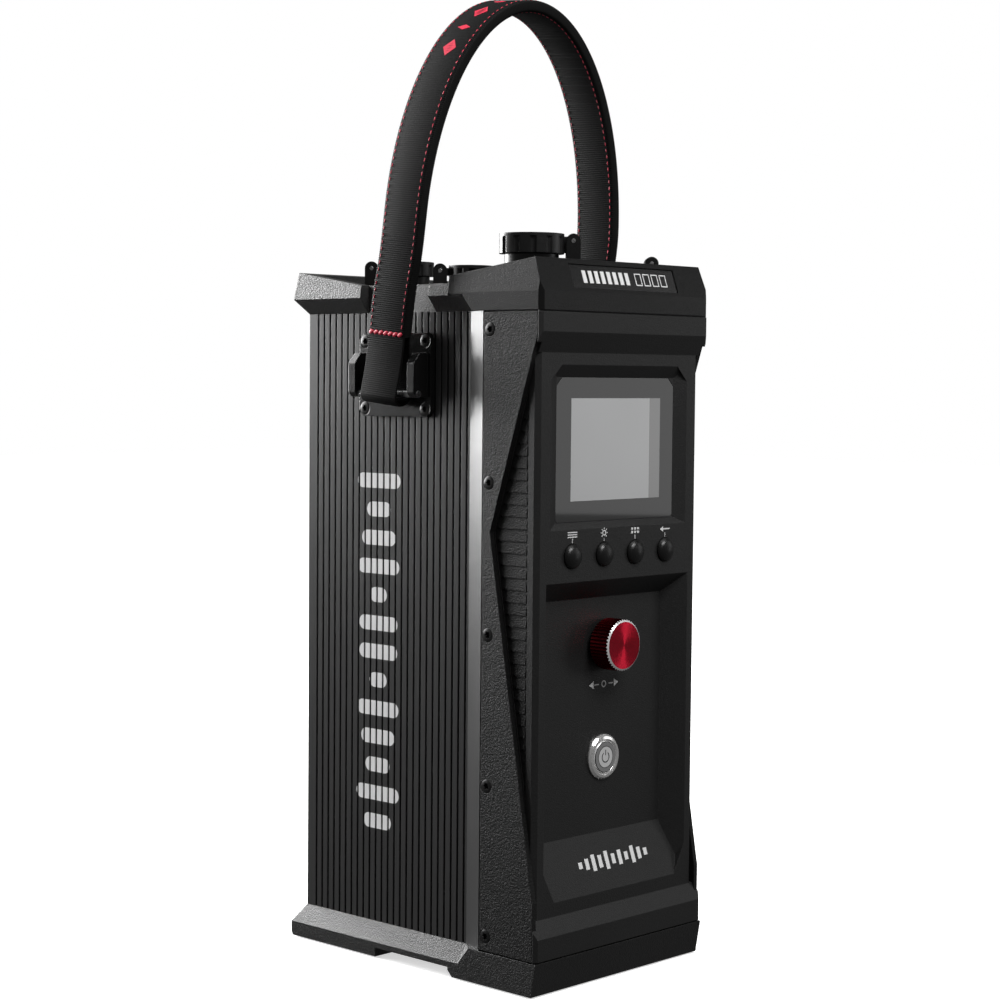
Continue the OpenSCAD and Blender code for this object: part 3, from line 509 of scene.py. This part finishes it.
# Screws
# Black countersunk screws with six-lobed sockets hold the cheeks, the brackets, the rear
# panel and the deck.
def blackened(name):
    finish = Finish(name)
    wear = finish.noise(0.0006, 3.0, 0.6)
    return finish.surface(Base_Color=finish.mix(wear, grey(0.012), grey(0.03)), Metallic=0.7,
                          Roughness=0.3 + (wear - 0.5) * 0.2)


black_steel = blackened("black_steel")


head_size, deck_head_size = 0.0034, 0.0028


def screws(name, node, places, head_r=head_size):
    shank_r, length, socket_r, lobe = 0.0015, 0.008, 0.00135, 0.00026
    whole = bmesh.new()
    lobed = lambda angle: socket_r + lobe * math.cos(6 * angle)
    for place, out in places:
        bm = turned([(lobed, -0.0013), (lobed, -0.0002), (lambda a: lobed(a) + 0.0002, 0.0),
                     (head_r - 0.00025, 0.0), (head_r - 0.00005, -0.00015),
                     (shank_r, -(head_r - shank_r)), (shank_r, -length)], 36)
        bm.transform(Matrix.Translation(place) @ out.to_track_quat("Z", "Y").to_matrix().to_4x4())
        spare = bpy.data.meshes.new("spare")
        bm.to_mesh(spare)
        bm.free()
        whole.from_mesh(spare)
        bpy.data.meshes.remove(spare)
    made = make(name, whole, [black_steel], "body")
    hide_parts(node)


cheek_low, cheek_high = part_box("cheek_screws")
half_w = cheek_high.x
screw_y = (cheek_low.y + cheek_high.y) / 2
low_z, high_z = cheek_low.z + head_size, cheek_high.z - head_size
screws("cheek_screw_heads", "cheek_screws",
       [(Vector((side * half_w, screw_y, low_z + k * (high_z - low_z) / 4)), Vector((side, 0, 0)))
        for side in (-1, 1) for k in range(5)])
plate_low, plate_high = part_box("anchor_screws")
screws("bracket_screw_heads", "anchor_screws",
       [(Vector((side * plate_high.x, y, z)), Vector((side, 0, 0)))
        for side in (-1, 1) for y in (plate_low.y + head_size, plate_high.y - head_size)
        for z in (plate_low.z + head_size, plate_high.z - head_size)])
back_low, back_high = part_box("rear_screws")
screws("rear_screw_heads", "rear_screws",
       [(Vector((x, back_high.y, z)), Vector((0, 1, 0)))
        for x in (back_low.x + head_size, back_high.x - head_size)
        for z in (back_low.z + head_size, (back_low.z + back_high.z) / 2,
                  back_high.z - head_size)])
deck_low, deck_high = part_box("deck_screws")
screws("deck_screw_heads", "deck_screws",
       [(Vector((x, y, deck_high.z)), Vector((0, 0, 1)))
        for x in (deck_low.x + deck_head_size, deck_high.x - deck_head_size)
        for y in (deck_low.y + deck_head_size, deck_high.y - deck_head_size)], deck_head_size)


# Carrying strap
# Black ribbed polyester webbing, 25.4 mm wide, folded round a soft core and sewn down both
# edges with red thread. Single webbing loops round a steel bar at each end.
strap_low, strap_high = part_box("strap")
bars_low, bars_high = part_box("strap_bars")
bar_z = (bars_low.z + bars_high.z) / 2
bar_y = (bars_low.y + bars_high.y) / 2
wide, thick, leg, rise, bulge = 0.0254, 0.006, 0.077, 0.1195, 0.0031
reach = strap_high.x - bulge
leg_lean, arch_lean, weave_lean = math.radians(13.6), math.radians(4.4), math.radians(5.7)
bend_low, bend_high = 0.060, 0.090
core_foot = 0.029


def ease(t):
    t = min(max(t, 0.0), 1.0)
    return t * t * (3 - 2 * t)


def leaned(x, across, up):
    """The legs lean more than the arch, and the lean changes smoothly between them."""
    below, above = min(up, bend_low), max(up - bend_high, 0)
    bent = min(max(up - bend_low, 0), bend_high - bend_low)
    lean = leg_lean + (arch_lean - leg_lean) * bent / (bend_high - bend_low)
    half = (leg_lean + lean) / 2
    back = below * math.sin(leg_lean) + bent * math.sin(half) + above * math.sin(arch_lean)
    rises = below * math.cos(leg_lean) + bent * math.cos(half) + above * math.cos(arch_lean)
    return Vector((x, bar_y + across * math.cos(weave_lean) - back,
                   bar_z + across * math.sin(weave_lean) + rises))


def stand(up):
    """Distance of the strap's outer face from the middle, at a height along a leg."""
    swell_from, swell_over = 0.010, 0.045
    return reach + bulge * ease((up - swell_from) / swell_over)


def walk(points):
    """Point and outward normal at any length along a line of (x, up) points."""
    gone = [0.0]
    for a, b in zip(points, points[1:]):
        gone.append(gone[-1] + math.dist(a, b))

    def at(s):
        last = len(gone) - 1
        k = min(max(next((i for i, g in enumerate(gone) if g > s), last), 1), last)
        t = (s - gone[k - 1]) / (gone[k] - gone[k - 1])
        a, b = points[k - 1], points[k]
        before, after = points[max(k - 2, 0)], points[min(k + 1, len(points) - 1)]
        ax, az = b[0] - before[0], b[1] - before[1]
        bx, bz = after[0] - a[0], after[1] - a[1]
        tx, tz = ax * (1 - t) + bx * t, az * (1 - t) + bz * t
        size = math.hypot(tx, tz)
        return (a[0] + (b[0] - a[0]) * t, a[1] + (b[1] - a[1]) * t), (-tz / size, tx / size)
    return at, gone[-1]


leg_heights = [core_foot + k * (leg - core_foot) / 12 for k in range(12)]
arch = [(thick / 2 - stand(up), up) for up in leg_heights]
arch += [(-(reach + bulge - thick / 2) * math.cos(a), leg + (rise - thick / 2) * math.sin(a))
         for a in (math.pi * k / 120 for k in range(121))]
arch += [(stand(up) - thick / 2, up) for up in reversed(leg_heights)]
on_arch, arch_length = walk(arch)


def lay(bm, at):
    """Bends a straight piece, long in X and thick in Z, along a line."""
    for v in bm.verts:
        (px, pz), (nx, nz) = at(v.co.x)
        v.co = leaned(px + nx * v.co.z, v.co.y, pz + nz * v.co.z)


def webbing(length, width, thickness, rounding):
    """A straight strip, long in X, with a woven rib every millimetre."""
    rib, rib_deep, edge_deep = 0.001, 0.00026, 0.00014
    bm = bmesh.new()
    bmesh.ops.create_cube(bm, size=1, matrix=Matrix.Translation((length / 2, 0, 0))
                          @ Matrix.Diagonal((length, width, thickness, 1)))
    long_edges = [e for e in bm.edges if abs(e.verts[0].co.x - e.verts[1].co.x) > length / 2]
    bmesh.ops.bevel(bm, geom=long_edges, offset=rounding, offset_type="OFFSET", segments=3,
                    profile=0.5, affect="EDGES", material=-1)
    long_edges = [e for e in bm.edges if abs(e.verts[0].co.x - e.verts[1].co.x) > length / 2]
    rows = round(length / rib) * 3
    bmesh.ops.subdivide_edges(bm, edges=long_edges, cuts=rows - 1, use_grid_fill=True)
    for v in bm.verts:
        groove = 0.5 - 0.5 * math.cos(2 * math.pi * v.co.x / rib)
        v.co.z -= math.copysign(rib_deep * groove, v.co.z)
        v.co.y -= math.copysign(edge_deep * groove, v.co.y)
    return bm


def woven(name):
    finish = Finish(name)
    fibre = finish.noise(0.0004, 3.0, 0.6)
    cloud = finish.noise(0.02, 2.0, 0.5)
    return finish.surface(
        Base_Color=finish.mix(fibre, finish.mix(cloud, grey(0.002), grey(0.003)), grey(0.008)),
        Roughness=0.62 + (fibre - 0.5) * 0.2, Specular_IOR_Level=0.07,
        Normal=finish.bump(fibre, 0.00008))


web = woven("black_webbing")
bm = webbing(arch_length, wide, thick, 0.0014)
lay(bm, on_arch)
strap = make("strap_webbing", bm, [web], "body", 60)
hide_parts("strap")

web_t, loop_r = 0.0014, 0.0047
bar_x = bars_high.x - (bars_high.z - bars_low.z) / 2
sewn = core_foot + 0.003
inner_x = stand(sewn) - thick + web_t / 2 + 0.0004
loop = [(stand(up) - web_t / 2 - 0.0003, up) for up in (sewn * (1 - k / 8) for k in range(9))]
loop += [(bar_x + loop_r * math.cos(a), loop_r * math.sin(-a)) for a in
         (math.pi * k / 20 for k in range(1, 20))]
loop += [(bar_x - loop_r + (inner_x - bar_x + loop_r) * ease(t), t * sewn)
         for t in (k / 10 for k in range(11))]
for side, tag in ((-1, "left"), (1, "right")):
    path = [(side * x, up) for x, up in loop]
    on_loop, loop_length = walk(path)
    bm = webbing(loop_length, wide - 0.0006, web_t, 0.0004)
    lay(bm, on_loop)
    make("strap_loop_" + tag, bm, [web], "body", 60)


# Stitching
# Red bonded thread: a running stitch near each edge on both faces, a heavy bar of stitches
# where each loop is sewn in, and a woven row of lozenges round the outside of the arch's top.
def thread(name):
    finish = Finish(name)
    twist = finish.noise(0.0003, 2.0, 0.5)
    tone = finish.mix(twist, (0.45, 0.008, 0.03, 1), (0.78, 0.02, 0.07, 1))
    return finish.surface(Base_Color=tone, Roughness=0.5 + (twist - 0.5) * 0.2,
                          Normal=finish.bump(twist, 0.00005))


red_thread = thread("red_thread")
stitch_pitch, seam_in = 0.0033, 0.0021
stitch_long, stitch_fat, stitch_proud = 0.0021, 0.0005, 0.00016
bm = bmesh.new()
count = int(arch_length / stitch_pitch)
for k in range(count):
    s = (k + 0.5) * arch_length / count
    for row in (-1, 1):
        for face in (-1, 1):
            at = Matrix.Translation((s, row * (wide / 2 - seam_in), face * (thick / 2 - 0.00002)))
            size = Matrix.Diagonal((stitch_long / 2, stitch_fat / 2, stitch_proud, 1))
            bmesh.ops.create_uvsphere(bm, u_segments=6, v_segments=4, radius=1, matrix=at @ size)
lay(bm, on_arch)
make("strap_stitching", bm, [red_thread], "body", 80)

bm = bmesh.new()
bartack_in = 0.0012
for end in (bartack_in, arch_length - bartack_in):
    for face in (-1, 1):
        for k in range(7):
            at = Matrix.Translation((end, (k - 3) * 0.0033, face * (thick / 2)))
            bmesh.ops.create_uvsphere(bm, u_segments=10, v_segments=6, radius=1, matrix=at
                                      @ Matrix.Rotation(0.35, 4, "Z")
                                      @ Matrix.Diagonal((0.0011, 0.0018, 0.0005, 1)))
lay(bm, on_arch)
make("strap_bartacks", bm, [red_thread], "body", 80)

lozenge_pitch, long_lozenge, short_lozenge = 0.0135, (0.0050, 0.0042), (0.0018, 0.0042)
bm = bmesh.new()
for k in range(9):
    s = arch_length / 2 + (k - 4) * lozenge_pitch
    at = Matrix.Translation((s, 0, thick / 2 - 0.00005))
    size = short_lozenge if k % 2 else long_lozenge
    bmesh.ops.create_cone(bm, cap_ends=True, segments=4, radius1=1, radius2=1, depth=0.0002,
                          matrix=at @ Matrix.Diagonal((*size, 1, 1)))
lay(bm, on_arch)
make("strap_lozenges", bm, [red_thread], "body", 80)


# Studio
# A pale floor that meets a white surround, a large soft light high behind the left shoulder of
# the box, one low and straight behind it, and weaker ones above the front, overhead and right.
bm = bmesh.new()
bmesh.ops.create_grid(bm, x_segments=2, y_segments=2, size=6)
mesh = bpy.data.meshes.new("floor")
bm.to_mesh(mesh)
bm.free()
floor = bpy.data.objects.new("floor", mesh)
floor_finish = Finish("pale_floor")
floor_x, floor_y, floor_z = floor_finish.axes()
reach_out = (floor_x * floor_x + floor_y * floor_y).fn("SQRT")
far = floor_finish.node("MapRange", {"interpolation_type": "SMOOTHSTEP"},
                        {0: reach_out, 1: 0.3, 2: 1.1})
mesh.materials.append(floor_finish.surface(
    Base_Color=floor_finish.mix(floor_finish.noise(0.5), grey(0.80), grey(0.82)), Roughness=0.9,
    Emission_Color=floor_finish.mix(far, grey(0.6), grey(1.0)), Emission_Strength=1.0))
scene.collection.objects.link(floor)
floor.visible_diffuse = False
floor.visible_glossy = False

scene.world = bpy.data.worlds.new("surround")
surround = Finish("surround", scene.world)
dim = surround.node("Background", inputs={"Color": (1, 1, 1, 1), "Strength": 0.12})
white = surround.node("Background", inputs={"Color": (1, 1, 1, 1), "Strength": 1.0})
seen = surround.node("LightPath", out="Is Camera Ray")
surround.close("OutputWorld", surround.node("MixShader", inputs={0: seen, 1: dim, 2: white}))


def softbox(name, place, aim, wide, tall, power):
    light = bpy.data.lights.new(name, "AREA")
    light.shape = "RECTANGLE"
    light.size, light.size_y, light.energy = wide, tall, power
    lamp = bpy.data.objects.new(name, light)
    lamp.location = place
    lamp.rotation_euler = (Vector(aim) - Vector(place)).to_track_quat("-Z", "Y").to_euler()
    lamp.visible_camera = False
    scene.collection.objects.link(lamp)


softbox("key", (-0.62, 1.45, 0.85), (0, 0, 0.25), 1.0, 1.3, 44)
softbox("edge", (0.0, 1.6, 0.62), (0, 0, 0.3), 0.5, 0.9, 44)
softbox("front", (-0.1, -1.1, 1.5), (0, 0, 0.2), 0.8, 0.6, 26)
softbox("top", (0.1, -0.1, 1.7), (0, 0, 0.2), 1.2, 1.2, 8)
softbox("right", (1.4, -1.1, 0.6), (0, 0, 0.2), 0.5, 1.0, 2.5)


# Camera
# The box stands on the floor and is seen from its front left corner through a long lens,
# from a little below its top.
yaw, dip, roll = math.radians(46.489), math.radians(3.0956), math.radians(0.496)
look = Vector((math.sin(yaw) * math.cos(dip), math.cos(yaw) * math.cos(dip), -math.sin(dip)))
level = Vector((math.cos(yaw), -math.sin(yaw), 0))
upright = level.cross(look)
across = math.cos(roll) * level + math.sin(roll) * upright
upward = -math.sin(roll) * level + math.cos(roll) * upright
camera = bpy.data.objects.new("camera", bpy.data.cameras.new("camera"))
camera.data.lens = 80.07
camera.data.sensor_width = 36
turn = Matrix((across, upward, -look)).transposed().to_4x4()
camera.matrix_world = Matrix.Translation(Vector((-0.810274, -0.771389, 0.28718))) @ turn
scene.collection.objects.link(camera)
scene.camera = camera
scene.view_settings.view_transform = "Standard"
